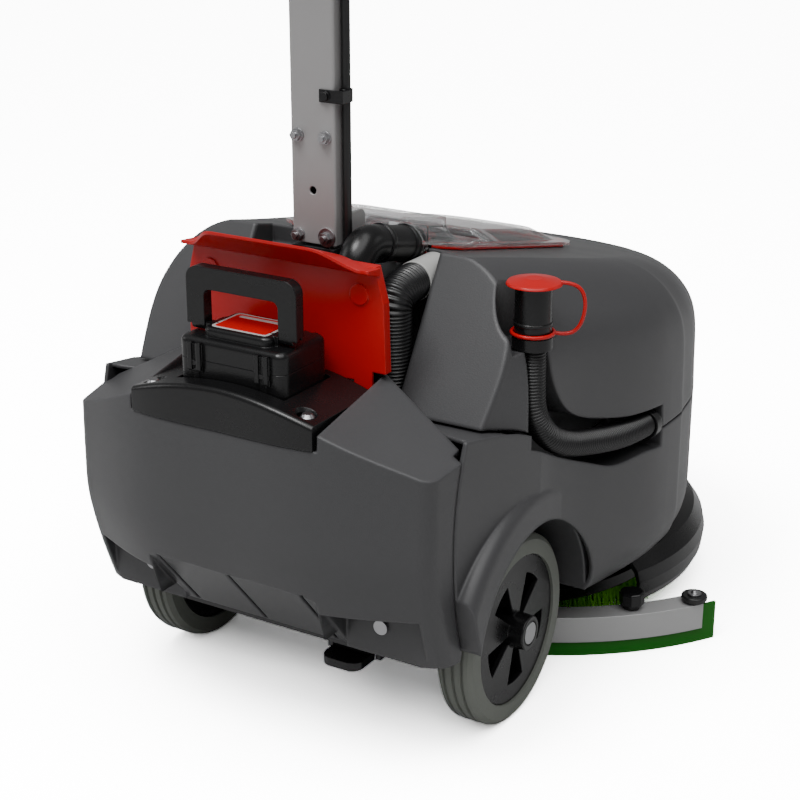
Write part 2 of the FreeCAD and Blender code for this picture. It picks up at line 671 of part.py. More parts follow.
def lid_outline(height, half, front, rear, front_round, rear_round):
    """A rectangle about X = 0 with its own corner radii in front and behind."""
    def at(x, v):
        return Vector(x, v, height)

    def quarter(x, v, radius, start):
        circle = Part.Circle(at(x, v), Vector(0, 0, 1), radius)
        return circle.toShape(math.radians(start), math.radians(start + 90))

    f, b = front_round, rear_round
    return Part.Wire([
        Part.LineSegment(at(half, front + f), at(half, rear - b)).toShape(),
        quarter(half - b, rear - b, b, 0),
        Part.LineSegment(at(half - b, rear), at(b - half, rear)).toShape(),
        quarter(b - half, rear - b, b, 90),
        Part.LineSegment(at(-half, rear - b), at(-half, front + f)).toShape(),
        quarter(f - half, front + f, f, 180),
        Part.LineSegment(at(f - half, front), at(half - f, front)).toShape(),
        quarter(half - f, front + f, f, 270)])


def lid_plate(low, top, *plan):
    """A flat layer of the lid between two heights."""
    return Part.Face(lid_outline(low, *plan)).extrude(Vector(0, 0, top - low))


def inlet_box(wall):
    """The tall box over the air inlet, its sides flared towards the flange."""
    flare = [(3.4, 19, 14), (8, 9, 7), (13, 4, 3), (19, 1, 1), (27.4, 0, 0)]
    wires = [lid_outline(w, 55 + side - wall, 133 - front + wall, 222 - wall, 12, 8)
             for w, side, front in flare]
    return Part.makeLoft(wires, True, True)


def front_window(wall):
    """The flat dome over the tank's mouth, upright behind and sloping elsewhere."""
    low = lid_outline(3.4, 100 - wall, -98 + wall, 92 - wall, 60, 12)
    top = lid_outline(16.4, 66 - wall, -70 + wall, 90 - wall, 44, 12)
    return Part.makeLoft([low, top], True, True)


def lid_shapes():
    """Clear lid with its inlet box and window, the seal under it and the filter basket."""
    place = lid_place().toMatrix()
    flange = lid_plate(3.4, 6.6, 106, -106, 222, 62, 40)
    under = Vector(0, 0, -3)
    inner = [inlet_box(3), front_window(3)]
    for solid in inner:
        solid.translate(under)
    lid = flange.fuse([inlet_box(0), front_window(0)]).cut(inner)
    lid = lid.transformGeometry(place)
    inlet = Part.makeCylinder(dim("elbow_radius") + 0.02, 40, *elbow_line())
    cuff_gap = Part.makeCylinder(20, 20, Vector(-88, -40, 452), Vector(0, 1, 0))
    plate = slab(-80, -30.6, 456, -36, -27.6, 497).cut(cuff_gap)
    shape_part("clear_lid", lid.fuse(plate).cut(inlet).removeSplitter())
    seal = lid_plate(0.4, 3.4, 100, -100, 216, 58, 36).cut(lid_plate(0, 4, 88, -90, 206, 48, 26))
    seal = seal.transformGeometry(place).cut(slab(-81, -60, 440, -35, 0, 500))
    shape_part("lid_seal", seal)
    basket = lid_plate(-46, 3, 36, 154, 186, 8, 8).cut(lid_plate(-44, 10, 34, 156, 184, 6, 6))
    bar = lid_plate(-2, 3, 50, 158, 182, 4, 4).cut(lid_plate(-3, 4, 35, 150, 190, 6, 6))
    basket = basket.fuse(bar)
    for v in (162, 170, 178):
        basket = basket.cut([slab(-40, v - 2.5, z, 40, v + 2.5, z + 7) for z in (-40, -30, -20)])
    shape_part("filter_basket", basket.transformGeometry(place))


def route(points, longest=1e9):
    """Straight runs joined by tangent arcs. Gives the wire and the arcs' radii."""
    edges, radii = [], []
    corners = [Vector(*point) for point in points]
    here, last = corners[0], len(corners) - 2
    for n in range(1, last + 1):
        corner = corners[n]
        back, ahead = corners[n - 1] - corner, corners[n + 1] - corner
        reach = min(back.Length * (0.9 if n == 1 else 0.45),
                    ahead.Length * (0.9 if n == last else 0.45), longest)
        back.normalize()
        ahead.normalize()
        half_turn = (math.pi - back.getAngle(ahead)) / 2
        radius = reach / math.tan(half_turn)
        inwards = back + ahead
        inwards.normalize()
        middle = corner + inwards * (radius / math.cos(half_turn) - radius)
        start, end = corner + back * reach, corner + ahead * reach
        edges.append(Part.LineSegment(here, start).toShape())
        edges.append(Part.Arc(start, middle, end).toShape())
        radii.append(round(radius, 1))
        here = end
    edges.append(Part.LineSegment(here, corners[-1]).toShape())
    return Part.Wire(edges), radii


def tube(name, points, radius, bore=0.0):
    """A hose along a route, checked against its section times its length."""
    wire, radii = route(points)
    start = Vector(*points[0])
    along = Vector(*points[1]) - start

    def sweep(size):
        ring = Part.Wire(Part.Circle(start, along, size).toShape())
        return wire.makePipeShell([ring], True, False)

    solid = sweep(radius)
    expected = math.pi * radius ** 2 * wire.Length
    print(name, "length %.0f radii %s volume ratio %.4f" % (wire.Length, radii,
                                                         solid.Volume / expected))
    return solid.cut(sweep(bore)) if bore else solid


def cuff_solid():
    """The pale cuff where the squeegee's hose enters the tank."""
    return Part.makeCylinder(19.5, 46, Vector(-88, -36, 452), Vector(0, 1, 0))


def hoses():
    """Both hoses with their cuffs, the collar, the red cap and its strap."""
    vacuum = [(-88, 10, 452), (-88, 50, 452), (-88, 50, 230), (-72, -46, 158), (0, -98, 158),
              (0, -98, 86)]
    shape_part("vacuum_hose", tube("vacuum_hose", vacuum, dim("vac_hose_radius"),
                                   dim("vac_hose_bore")))
    bore = Part.makeCylinder(15.5, 60, Vector(-88, -40, 452), Vector(0, 1, 0))
    shape_part("vacuum_cuff", cuff_solid().cut(bore))
    x, y = dim("cuff_x"), dim("cuff_y")
    drain = [(x, y, 403), (x, y, 344), (x - 14, y - 46, 302), (x - 28, y - 104, 275),
             (x - 34, y - 168, 265), (x - 34, y - 216, 263)]
    shape_part("drain_hose", tube("drain_hose", drain, dim("drain_hose_radius")))
    at = ("dims.cuff_x", "dims.cuff_y", 403)
    sub_part("drain_cuff", fuse("cuff", rod("cuff_tube", "dims.cuff_radius", 62, at),
                                rod("cuff_step", "dims.cuff_radius + 2", 12, at),
                                rod("cuff_bead", "dims.cuff_radius + 1", 3,
                                    ("dims.cuff_x", "dims.cuff_y", 426))))
    start, along = Vector(x - 34, y - 200, 263.67), Vector(0, -48, -2)
    ring = Part.makeCylinder(16.5, 12, start, along)
    shape_part("drain_collar", ring.cut(Part.makeCylinder(dim("drain_hose_radius") + 0.05, 12,
                                                          start, along)))
    lid_disc = cone("cap_disc", "dims.cap_radius", "dims.cap_radius - 1.5", 2.4,
                    ("dims.cuff_x", "dims.cuff_y", 465.4))
    crown = cone("cap_crown", "dims.cap_radius - 1.5", 8, 3.5,
                 ("dims.cuff_x", "dims.cuff_y", 467.8))
    sub_part("drain_cap", fuse("cap", lid_disc, crown))
    strap_shape(x, y)


def strap_shape(x, y):
    """The strap that ties the cap to a ring round the cuff."""
    out = Vector(-0.855, -0.519, 0)
    loop = [Vector(x, y, z) + out * reach for reach, z in
            ((24, 466.6), (41, 466), (50, 449), (46, 424), (33, 414), (19, 417.5))]
    strap = tube("cap_strap", [tuple(point) for point in loop], 2.0)
    ring = Part.makeTorus(dim("cuff_radius") + 2.2, 2.0, Vector(x, y, 418))
    cap_space = Part.makeCylinder(dim("cap_radius") + 0.4, 20, Vector(x, y, 460))
    inside = Part.makeCylinder(dim("cuff_radius") + 0.05, 40, Vector(x, y, 400))
    shape_part("cap_strap", ring.fuse(strap).cut([cap_space, inside]))


def elbow_line():
    """Where the air elbow's upper run starts, and its direction."""
    start, corner = Vector(-58, -37, 475), Vector(-52, 58, 496)
    return start, corner - start


def elbow():
    """The air duct from the lid down to the vacuum motor, narrower where it plugs in."""
    radius = dim("elbow_radius")
    start, along = elbow_line()
    corner = start + along
    wire, _ = route([tuple(start), tuple(corner), (corner.x, corner.y, 466)], 26.0)
    ring = Part.Wire(Part.Circle(start, along, radius).toShape())
    bend = wire.makePipeShell([ring], True, False)
    plug = Part.makeCylinder(15.5, 180, Vector(corner.x, corner.y, 290))
    bands = [Part.makeCylinder(radius + 1.4, wide, start + along * share, along)
             for share, wide in ((0.16, 3), (0.56, 5))]
    shape_part("vacuum_elbow", bend.fuse([plug] + bands).removeSplitter())


# ---------------------------------------------------------------- battery bay

def battery_tray():
    """Crowned tray with a well for the pack, a low ledge in front and a skirt behind."""
    half = dim("tray_half")
    low_x, front_y, rear_y = dim("case_half") + 1.5, dim("case_front") - 1.5, \
        dim("case_rear") + 1.5
    floor, step = dim("well_floor"), dim("flap_y") + 3
    plan = Part.Face(rear_section(280, 0, 1.2)).extrude(Vector(0, 0, 140))
    skirt_in = Part.Face(rear_section(280, 0, 6.2)).extrude(Vector(0, 0, 140))
    body = crowned_core(0, half, step, 240).cut(crowned_core(4, half - 4, step + 4, 240).common(
        skirt_in))
    body = body.common(plan).cut(slab(-half - 1, 0, 200, half + 1, 300, dim("tray_low") + 0.6))
    ledge = slab(-half, 76, 356, half, step + 1, 360)
    well = slab(-low_x - 3, front_y - 3, floor - 3, low_x + 3, rear_y + 3, 395)
    body = body.fuse([well.common(crowned_core(0, half, 100, 240)), ledge])
    body = body.cut(slab(-low_x, front_y, floor, low_x, rear_y, 420))
    body = smooth_edges(body, 5, lambda e: e.CenterOfMass.y > 205 and e.BoundBox.ZMax > 386
                        and e.Length > 100)
    for sign in (1, -1):
        body = body.cut([Part.makeCone(9, 13, 8, Vector(sign * 88, 197, 372)),
                         Part.makeCylinder(3, 30, Vector(sign * 88, 197, 350))])
        body = body.fuse(Part.makeBox(24, 16, 5, Vector(sign * 90 - 12, 92, 359)))
        ear = Part.makeCylinder(6, 6, Vector(sign * 75 - 3, dim("flap_y") - 6, 370),
                                Vector(1, 0, 0)).fuse(slab(sign * 75 - 3, dim("flap_y") - 12, 359,
                                                           sign * 75 + 3, dim("flap_y"), 370))
        body = body.fuse(ear)
    bore = Part.makeCylinder(3, 300, Vector(-150, dim("flap_y") - 6, 370), Vector(1, 0, 0))
    shape_part("battery_tray", body.cut(bore).removeSplitter())


def screws():
    """Pan-head screws: two in the tray and two in the rear cover's pockets."""
    heads = []
    for n, x in enumerate((-88, 88)):
        heads.append(fuse("tray_screw_%d" % n, cone("tray_head_%d" % n, 7, 4.5, 3.4,
                                                   (x, 197, 372)),
                          rod("tray_shank_%d" % n, 3, 12, (x, 197, 361))))
    for n, x in enumerate((-138, 138)):
        heads.append(fuse("cover_screw_%d" % n, rod("cover_head_%d" % n, 7.5, 3.2,
                                                   (x, 152, 154), "Y"),
                          rod("cover_shank_%d" % n, 3, 14, (x, 139, 154), "Y")))
    sub_part("cover_screws", group("cover_screws", *heads))


def battery():
    """Battery pack: case, lid with a raised label field, four latches and a folding handle."""
    half, front, rear = dim("case_half"), dim("case_front"), dim("case_rear")
    middle = (front + rear) / 2
    case = slab(-half, front, dim("well_floor") + 0.3, half, rear, 403.2)
    case = case.makeFillet(10, [e for e in case.Edges if vertical(e)])
    ribs = [slab(x - 3, rear - 1, 310, x + 3, rear + 0.9, 392) for x in (-38, 38)]
    shape_part("battery_case", case.fuse(ribs).removeSplitter())
    lid = slab(-half, front, 403.2, half, rear, dim("case_top") + 4)
    lid = lid.makeFillet(10, [e for e in lid.Edges if vertical(e)])
    lid = lid.makeFillet(6, [e for e in lid.Edges if level(dim("case_top") + 4)(e)])
    boss = slab(-38, front + 9, 420, 38, rear - 9, 433)
    boss = boss.makeFillet(9, [e for e in boss.Edges if vertical(e)])
    boss = boss.makeFillet(4, [e for e in boss.Edges if level(433)(e)])
    pin = Part.makeCylinder(2.5, 110, Vector(-55, middle + 12, 431), Vector(1, 0, 0))
    boss = boss.fuse([pin, slab(-41, middle + 6.5, 422, 41, middle + 17.5, 433)])
    shape_part("battery_lid", lid.fuse(boss).removeSplitter())
    latches = []
    for x in (-38, 38):
        for face, sign in ((rear, 1), (front, -1)):
            latches.append(latch_shape(x, face, sign))
    shape_part("battery_latches", Part.makeCompound(latches))
    outer = slab(-62, middle + 6, 425, 62, middle + 18, 487)
    outer = outer.makeFillet(13, [e for e in outer.Edges
                                  if e.BoundBox.YLength > 5 and e.BoundBox.ZMin > 480])
    opening = slab(-42, 0, 400, 42, 300, 466)
    opening = opening.makeFillet(7, [e for e in opening.Edges
                                     if e.BoundBox.YLength > 5 and e.BoundBox.ZMin > 460])
    handle = outer.cut([opening, slab(-80, 0, 400, 80, 300, 431)])
    hubs = [Part.makeCylinder(6, 15, Vector(x, middle + 12, 431), Vector(1, 0, 0))
            for x in (-57, 42)]
    bore = Part.makeCylinder(2.55, 130, Vector(-65, middle + 12, 431), Vector(1, 0, 0))
    shape_part("battery_handle", handle.fuse(hubs).cut(bore).removeSplitter())


def latch_shape(x, face, sign):
    """A snap latch: a plate with two upright ribs, on the front or the rear of the case."""
    def layer(low_x, high_x, depth, low, top):
        near, far = sorted((face, face + sign * depth))
        return slab(low_x, near, low, high_x, far, top)

    plate = layer(x - 8, x + 8, 1.8, 392, 419)
    ribs = [layer(x + side - 2.4, x + side + 2.4, 4.4, 394, 421) for side in (-5, 5)]
    hook = layer(x - 8, x + 8, 3.2, 398, 403)
    return plate.fuse(ribs + [hook]).removeSplitter()


def flap_lip(y, top):
    """The flap's flared upper edge, which swells up and back in the middle."""
    sections = []
    for k in range(-12, 13):
        x = 107 * k / 12
        rise = min(1.0, max(0.0, (98 - abs(x)) / 42))
        swell = 3 * rise ** 2 - 2 * rise ** 3
        back, high = y + 18 + 20 * swell, top + 1 + 20 * swell
        corners = [(y - 3, top - 8), (y - 3, top - 1 + 7 * swell), (back, high),
                   (back, high - 3.2), (y, top - 8)]
        sections.append(Part.makePolygon([Vector(x, a, z) for a, z in corners + corners[:1]]))
    return Part.makeLoft(sections, True, False)


def battery_cover():
    """Hinged flap with a flared upper edge, a stiffening rim and two stop bosses."""
    y, low, top = dim("flap_y"), dim("flap_bottom"), dim("flap_top")

    def sheet(corners, depth, back):
        face = Part.Face(Part.makePolygon([Vector(x, back, z)
                                           for x, z in corners + corners[:1]]))
        return face.extrude(Vector(0, depth, 0))

    def half_plan(wide, inset):
        return [(-wide, low + inset), (wide, low + inset), (wide - 2, 457),
                (wide - 11, top - inset), (11 - wide, top - inset), (2 - wide, 457)]

    panel = sheet(half_plan(114, 0), -3, y)
    rim = sheet(half_plan(114, 0), -10, y).cut(sheet(half_plan(110, 4), -20, y))
    rim = rim.cut(slab(-105, 0, low - 1, 105, y - 3, low + 5))
    apron = slab(-99, y - 3, 366, 99, y, low + 4)
    body = panel.fuse([rim, flap_lip(y, top), apron])
    for sign in (1, -1):
        body = body.fuse(Part.makeCylinder(10, 3, Vector(sign * 86, y - 1, 463),
                                           Vector(0, 1, 0)))
        knuckle = Part.makeCylinder(6, 16, Vector(sign * 60 - 8, y - 6, 370), Vector(1, 0, 0))
        body = body.fuse([knuckle, slab(sign * 60 - 8, y - 6, 364, sign * 60 + 8, y, 374)])
        body = body.cut(slab(sign * 75 - 4, y - 14, 360, sign * 75 + 4, y + 1, 378))
    bore = Part.makeCylinder(3.06, 300, Vector(-150, y - 6, 370), Vector(1, 0, 0))
    shape_part("battery_cover", body.cut(bore).removeSplitter())
    sub_part("cover_hinge", rod("hinge_rod", 3, 166, (-83, "dims.flap_y - 6", 370), "X"))


# ---------------------------------------------------------------- mast and controls

def mast():
    """Folding mast with two lugs, its bolts, a cable and a clip."""
    front, low = dim("mast_front"), dim("mast_bottom")
    half, depth, wall = dim("mast_width") / 2, dim("mast_depth"), dim("mast_wall")
    top = dim("mast_top")
    outer = slab(-half, front, low, half, front + depth, top)
    outer = outer.makeFillet(3, [e for e in outer.Edges if vertical(e)])
    inner = slab(wall - half, front + wall, low - 1, half - wall, front + depth - wall, top + 1)
    lugs = [slab(min(s * half, s * (half + 3)), 3, 462, max(s * half, s * (half + 3)), 31, 516)
            for s in (1, -1)]
    lugs = [lug.makeFillet(8, [e for e in lug.Edges if e.BoundBox.XLength > 2
                               and e.BoundBox.YMax < 10]) for lug in lugs]
    pin = Part.makeCylinder(dim("pin_radius") + 0.05, 100, Vector(-50, dim("pin_y"),
                                                                  dim("pin_z")), Vector(1, 0, 0))
    hole = Part.makeCylinder(4, 20, Vector(0, front + depth - 10, 539.4), Vector(0, 1, 0))
    shape_part("mast_tube", outer.cut(inner).fuse(lugs).cut([pin, hole]).removeSplitter())
    rear = front + depth
    bolts = []
    for x, z, washer in ((16, 592, 6.5), (-15.5, 592, 6.5), (17, 494.5, 6.5), (-15.5, 495, 9.5)):
        start = Vector(x, rear, z)
        flat = Part.makeCylinder(washer, 1.6, start, Vector(0, 1, 0))
        head = hexagon(5.8, 5, start + Vector(0, 1.6, 0))
        tip = Part.makeCylinder(3, 9.5, start, Vector(0, 1, 0))
        bolts.append(flat.fuse([head, tip]).removeSplitter())
    shape_part("mast_bolts", Part.makeCompound(bolts))
    x, y = -half - 0.4 - dim("cable_radius"), 38.0
    band = Part.makeCylinder(6.4, 12, Vector(x, y, 625.5))
    tab = slab(x - 6.4, rear + 0.1, 625.5, -10, rear + 2.1, 637.5)
    side = slab(x - 6.4, y, 625.5, x - 3.4, rear + 2.1, 637.5)
    hole = Part.makeCylinder(dim("cable_radius"), 20, Vector(x, y, 620))
    screw = Part.makeCylinder(4.5, 3.4, Vector(-16.6, rear + 2, 631.5), Vector(0, 1, 0))
    clip = band.fuse([tab, side]).cut([hole, slab(-half - 0.2, 0, 600, 50, rear + 0.1, 650)])
    shape_part("cable_clip", clip.fuse(screw).removeSplitter())
    shape_part("mast_cable", Part.makeCylinder(dim("cable_radius"), top - 497,
                                               Vector(x, y, 497)))
    foot = 118
    shape_part("cable_tail", Part.makeCylinder(dim("cable_radius"), 457 - foot,
                                               Vector(x - 0.2, y, foot)))


def hexagon(radius, height, start):
    """A hexagonal head that stands out towards the rear."""
    corners = [start + Vector(radius * math.cos(math.radians(60 * k)), 0,
                              radius * math.sin(math.radians(60 * k))) for k in range(7)]
    return Part.Face(Part.makePolygon(corners)).extrude(Vector(0, height, 0))


def controls():
    """Control head on the mast, loop handle, start lever, two buttons and a flow knob."""
    top = dim("mast_top")
    head = slab(-62, 4, top - 34, 62, 78, top + 26)
    head = head.makeFillet(14, [e for e in head.Edges if vertical(e)])
    head = head.makeFillet(7, [e for e in head.Edges if e.BoundBox.ZLength < 0.1])
    sleeve = slab(-25, 21, top - 60, 25, 52, top)
    cable = Part.makeCylinder(4.8, 60, Vector(-29.9, 38, top - 55))
    wells = [Part.makeCylinder(9.4, 14, Vector(x, 58, top + 18)) for x in (-26, 26)]
    shaft = Part.makeCylinder(3.4, 20, Vector(0, 28, top + 14))
    pivot = slab(-40.5, 74, top - 20, 40.5, 90, top + 6)
    ears = [slab(x, 60, top - 16, x + 6, 90, top + 2) for x in (-46.5, 40.5)]
    lever_pin = Part.makeCylinder(2.5, 88, Vector(-44, 83, top - 7), Vector(1, 0, 0))
    head = head.cut([sleeve, cable, shaft, pivot] + wells).fuse(ears + [lever_pin])
    shape_part("control_head", head.removeSplitter())
    loop = [(62, 40, top), (130, 40, top), (168, 66, top + 12), (168, 128, top + 40),
            (150, 168, top + 58), (84, 182, top + 64), (0, 184, top + 65), (-84, 182, top + 64),
            (-150, 168, top + 58), (-168, 128, top + 40), (-168, 66, top + 12),
            (-130, 40, top), (-62, 40, top)]
    shape_part("loop_handle", tube("loop_handle", loop, 13.0))
    blade = slab(-40, 80, top - 12, 40, 150, top - 6)
    blade = blade.makeFillet(12, [e for e in blade.Edges if vertical(e) and
                                  e.BoundBox.YMin > 100])
    barrel = Part.makeCylinder(6, 80, Vector(-40, 83, top - 7), Vector(1, 0, 0))
    bore = Part.makeCylinder(2.56, 80, Vector(-40, 83, top - 7), Vector(1, 0, 0))
    shape_part("start_lever", blade.fuse(barrel).cut(bore).removeSplitter())
    for n, (node, x) in enumerate((("button_brush", -26), ("button_vacuum", 26))):
        cap = rod("key_%d" % n, 9, 8.6, (x, 58, "dims.mast_top + 22.4"))
        soft = rounded("key_round_%d" % n, cap, 2, level(top + 31))
        sub_part(node, soft)
    knob = rod("flow_grip", 15, 16, (0, 28, "dims.mast_top + 26.5"))
    stem = rod("flow_stem", 3, 12, (0, 28, "dims.mast_top + 15"))
    sub_part("flow_knob", fuse("flow", knob, stem))


# ---------------------------------------------------------------- brush deck

def deck():
    """Round deck cover with its motor, and the turning disc with bristles."""
    radius, low, y = dim("deck_radius"), dim("deck_bottom"), dim("brush_y")

    def dome(inset, bottom, tops):
        """Revolved cover profile."""
        corners = [Vector(0, y, bottom)] + [Vector(r - inset, y, z) for r, z in tops]
        corners.append(Vector(0, y, tops[-1][1]))
        face = Part.Face(Part.makePolygon(corners + corners[:1]))
        return face.revolve(Vector(0, y, 0), Vector(0, 0, 1), 360)

    outer = dome(0, low, [(radius - 7, low), (radius - 2, low + 10), (radius, low + 26),
                          (radius - 3, low + 40), (radius - 14, low + 56),
                          (radius - 34, low + 67)])
    inner = dome(3.5, low - 1, [(radius - 7, low - 1), (radius - 2, low + 10),
                                (radius, low + 26), (radius - 4, low + 38),
                                (radius - 16, low + 52), (radius - 38, low + 63)])
    cover = outer.cut(inner)
    hole = Part.makeCylinder(52, 40, Vector(0, y, low + 50))
    rear = slab(-300, y + 96, low - 5, 300, y + 300, low + 70)
    shape_part("deck_cover", cover.cut([hole, rear]).removeSplitter())
    can = rod("brush_can", 51, 95, (0, "dims.brush_y", "dims.deck_bottom + 67"))
    shaft = rod("brush_shaft", 12, 40, (0, "dims.brush_y", "dims.deck_bottom + 30"))
    cap = rod("brush_flange", 66, 6, (0, "dims.brush_y", "dims.deck_bottom + 67"))
    sub_part("brush_motor", fuse("brush_drive", can, shaft, cap))
    disc = turned("brush_plate", [
        (12.06, "dims.bristle_height"), ("dims.brush_radius", "dims.bristle_height"),
        ("dims.brush_radius", "dims.bristle_height + 14"), (60, "dims.bristle_height + 16"),
        (48, "dims.bristle_height + 34"), (12.06, "dims.bristle_height + 34")],
        "XZ_Plane", "V_Axis")
    link(disc, **{"Placement.Base.y": "dims.brush_y"})
    BASE_Y[disc.Name] = "dims.brush_y"
    sub_part("brush_disc", disc)
    ring = cut("bristle_ring", cone("bristle_out", "dims.brush_radius + 6",
                                    "dims.brush_radius - 2", "dims.bristle_height",
                                    (0, "dims.brush_y", 0)),
               rod("bristle_in", 110, "dims.bristle_height", (0, "dims.brush_y", 0)))
    sub_part("brush_bristles", ring)


# ---------------------------------------------------------------- squeegee

def arc_band(inner, outer, low, top, half_deg):
    """Part of a ring about the squeegee's centre, opened towards the rear."""
    centre = Vector(0, dim("blade_y"), 0)
    start = 90 - half_deg
    ring = []
    for radius in (outer, inner):
        circle = Part.Circle(centre + Vector(0, 0, low), Vector(0, 0, 1), radius)
        ring.append(circle.toShape(math.radians(start), math.radians(start + 2 * half_deg)))
    ends = [Part.LineSegment(ring[0].Vertexes[k].Point, ring[1].Vertexes[k].Point).toShape()
            for k in (0, 1)]
    wire = Part.Wire(Part.__sortEdges__(ring + ends))
    return Part.Face(wire).extrude(Vector(0, 0, top - low))


def on_arc(radius, degrees, z):
    """A point on the squeegee's arc, degrees from straight behind its centre."""
    turn = math.radians(degrees)
    return Vector(radius * math.sin(turn), dim("blade_y") + radius * math.cos(turn), z)


def squeegee():
    """Curved body, two rubber blades, suction port, lifting bracket, knobs and rollers."""
    outer, inner = dim("blade_radius"), dim("body_inner")
    low, top, thick = dim("body_bottom"), dim("body_top"), dim("blade_thick")
    middle, port_y = (inner + outer) / 2, -98.0
    body = arc_band(inner + thick, outer + dim("body_skin"), low, top, 56)
    body = body.cut(arc_band(outer - thick, outer + 0.05, 0, top - 2.95, 60))
    channel = arc_band(inner + thick + 4, outer - thick - 4, low - 1, top - 5, 53)
    mouth = Part.makeCylinder(6, 30, Vector(0, port_y, top - 8))
    knobs = {"left": on_arc(middle, 43.4, top), "right": on_arc(middle, -43.4, top)}
    studs = [Part.makeCylinder(4, 16, at - Vector(0, 0, 2)) for at in knobs.values()]
    shape_part("squeegee_body", body.cut([channel, mouth]).fuse(studs).removeSplitter())
    shape_part("blade_rear", arc_band(outer - thick, outer, 0, top - 3, 59))
    shape_part("blade_front", arc_band(inner, inner + thick, 1.5, top - 8, 55))
    base = Part.makeCylinder(17, 12, Vector(0, port_y, top))
    stub = Part.makeCylinder(15, 40, Vector(0, port_y, top))
    hole = Part.makeCylinder(11, 90, Vector(0, port_y, top - 1))
    shape_part("squeegee_port", base.fuse(stub).cut(hole).removeSplitter())
    plate = slab(-88, port_y - 22, top, 88, port_y + 22, top + 6)
    rods = [Part.makeCylinder(6, 100, Vector(x, port_y, top)) for x in (-74, 74)]
    plate = plate.makeFillet(8, [e for e in plate.Edges if vertical(e)]).fuse(rods)
    shape_part("squeegee_bracket", plate.cut(
        Part.makeCylinder(17, 20, Vector(0, port_y, top - 5))).removeSplitter())
    bolts = []
    for side, sign in (("left", 1), ("right", -1)):
        knob_body(side, knobs[side])
        at = on_arc(364, sign * 55, top)
        roller = Part.makeCylinder(14.5, 6, at + Vector(0, 0, 3))
        roller = roller.makeFillet(1.5, [e for e in roller.Edges if not vertical(e)
                                         or e.Length > 60])
        roller = roller.cut(Part.makeCylinder(5.3, 8, at + Vector(0, 0, 2)))
        shape_part("roller_" + side, roller)
        bolt = Part.makeCylinder(5, 9.6, at)
        bolt = bolt.fuse([Part.makeCylinder(7.5, 1.6, at + Vector(0, 0, 9.4)),
                          Part.makeCone(4, 2.5, 2.6, at + Vector(0, 0, 11)),
                          Part.makeCylinder(7, 2.7, at)])
        bolts.append(bolt.removeSplitter())
    shape_part("roller_bolts", Part.makeCompound(bolts))


def knob_body(side, at):
    """Eight-sided clamping knob that turns on its stud."""
    corners = [at + Vector(14 * math.cos(math.radians(22.5 + 45 * k)),
                           14 * math.sin(math.radians(22.5 + 45 * k)), 7) for k in range(9)]
    grip = Part.Face(Part.makePolygon(corners)).extrude(Vector(0, 0, 14))
    grip = grip.makeFillet(2.5, [e for e in grip.Edges if level(at.z + 21)(e)])
    collar = Part.makeCylinder(9, 6.8, at + Vector(0, 0, 0.4))
    bore = Part.makeCylinder(4.06, 15, at)
    shape_part("knob_" + side, grip.fuse(collar).cut(bore).removeSplitter())


wheels()
chassis()
hidden_works()
lower_body()
recovery_tank()
rear_cover()
lid_shapes()
hoses()
elbow()
battery_tray()
screws()
battery()
battery_cover()
mast()
controls()
deck()
squeegee()
doc.recompute()

for obj in doc.Objects:
    if "Invalid" in obj.State or "Error" in obj.State:
        raise RuntimeError("%s failed: %s" % (obj.Label, obj.State))
os.makedirs("parts", exist_ok=True)
for node, obj in NODES.items():
    shape = obj.Shape
    if shape.isNull() or not shape.isValid() or shape.Volume < 1:
        raise RuntimeError("%s has no valid solid" % node)
    shape.exportStep("parts/%s.step" % node)
    print("%-18s %2d solid(s) %10.0f mm3" % (node, len(shape.Solids), shape.Volume))
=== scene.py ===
import json
import math
import random

import bmesh
import bpy
from mathutils import Matrix, Vector


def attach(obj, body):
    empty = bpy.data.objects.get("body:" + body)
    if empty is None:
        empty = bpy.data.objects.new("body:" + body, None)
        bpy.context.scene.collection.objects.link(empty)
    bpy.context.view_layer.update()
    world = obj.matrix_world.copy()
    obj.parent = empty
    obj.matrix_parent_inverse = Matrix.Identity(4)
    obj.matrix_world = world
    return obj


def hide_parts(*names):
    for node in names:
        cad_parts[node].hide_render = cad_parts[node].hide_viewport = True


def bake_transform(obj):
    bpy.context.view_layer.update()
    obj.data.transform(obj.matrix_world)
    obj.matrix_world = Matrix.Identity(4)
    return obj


# Looks of the walk-behind floor scrubber: materials for every sub-part, ribbed hoses, the cable,
# the cap's strap, separate bristles, the battery's label and the backing of the wheel centres.

AXLE_Y = 0.1853     # metres, the wheel axle's place in the frame
AXLE_HEIGHT = 100   # millimetres, like every number given to mm()
CUFF_X, CUFF_Y = -212, -2
CABLE_X, CABLE_Y = -30, 38
BRUSH_Y = -333

random.seed(7)
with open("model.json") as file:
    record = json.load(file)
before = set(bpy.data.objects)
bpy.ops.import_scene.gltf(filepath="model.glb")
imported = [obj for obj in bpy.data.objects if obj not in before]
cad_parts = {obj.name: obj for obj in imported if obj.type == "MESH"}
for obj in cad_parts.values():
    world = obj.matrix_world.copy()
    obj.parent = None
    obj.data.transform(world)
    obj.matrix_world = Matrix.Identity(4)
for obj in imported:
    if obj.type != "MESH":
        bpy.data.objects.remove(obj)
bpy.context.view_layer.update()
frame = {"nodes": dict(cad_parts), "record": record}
nodes = frame["nodes"]


def mm(x, y, z):
    """A point in the frame from millimetres, Y counted from the wheel axle."""
    return Vector((x / 1000, y / 1000 + AXLE_Y, z / 1000))


def turns(count):
    """Angles that divide a full circle evenly."""
    return [2 * math.pi * k / count for k in range(count)]


# ---------------------------------------------------------------- materials

def add_node(tree, kind, **inputs):
    """A new shader node with some of its inputs set."""
    made = tree.nodes.new(kind)
    for key, value in inputs.items():
        made.inputs[key.replace("_", " ")].default_value = value
    return made


def scaled(tree, factor):
    """A node that multiplies a colour by the value from a socket."""
    product = add_node(tree, "ShaderNodeVectorMath")
    product.operation = "SCALE"
    tree.links.new(factor, product.inputs["Scale"])
    return product


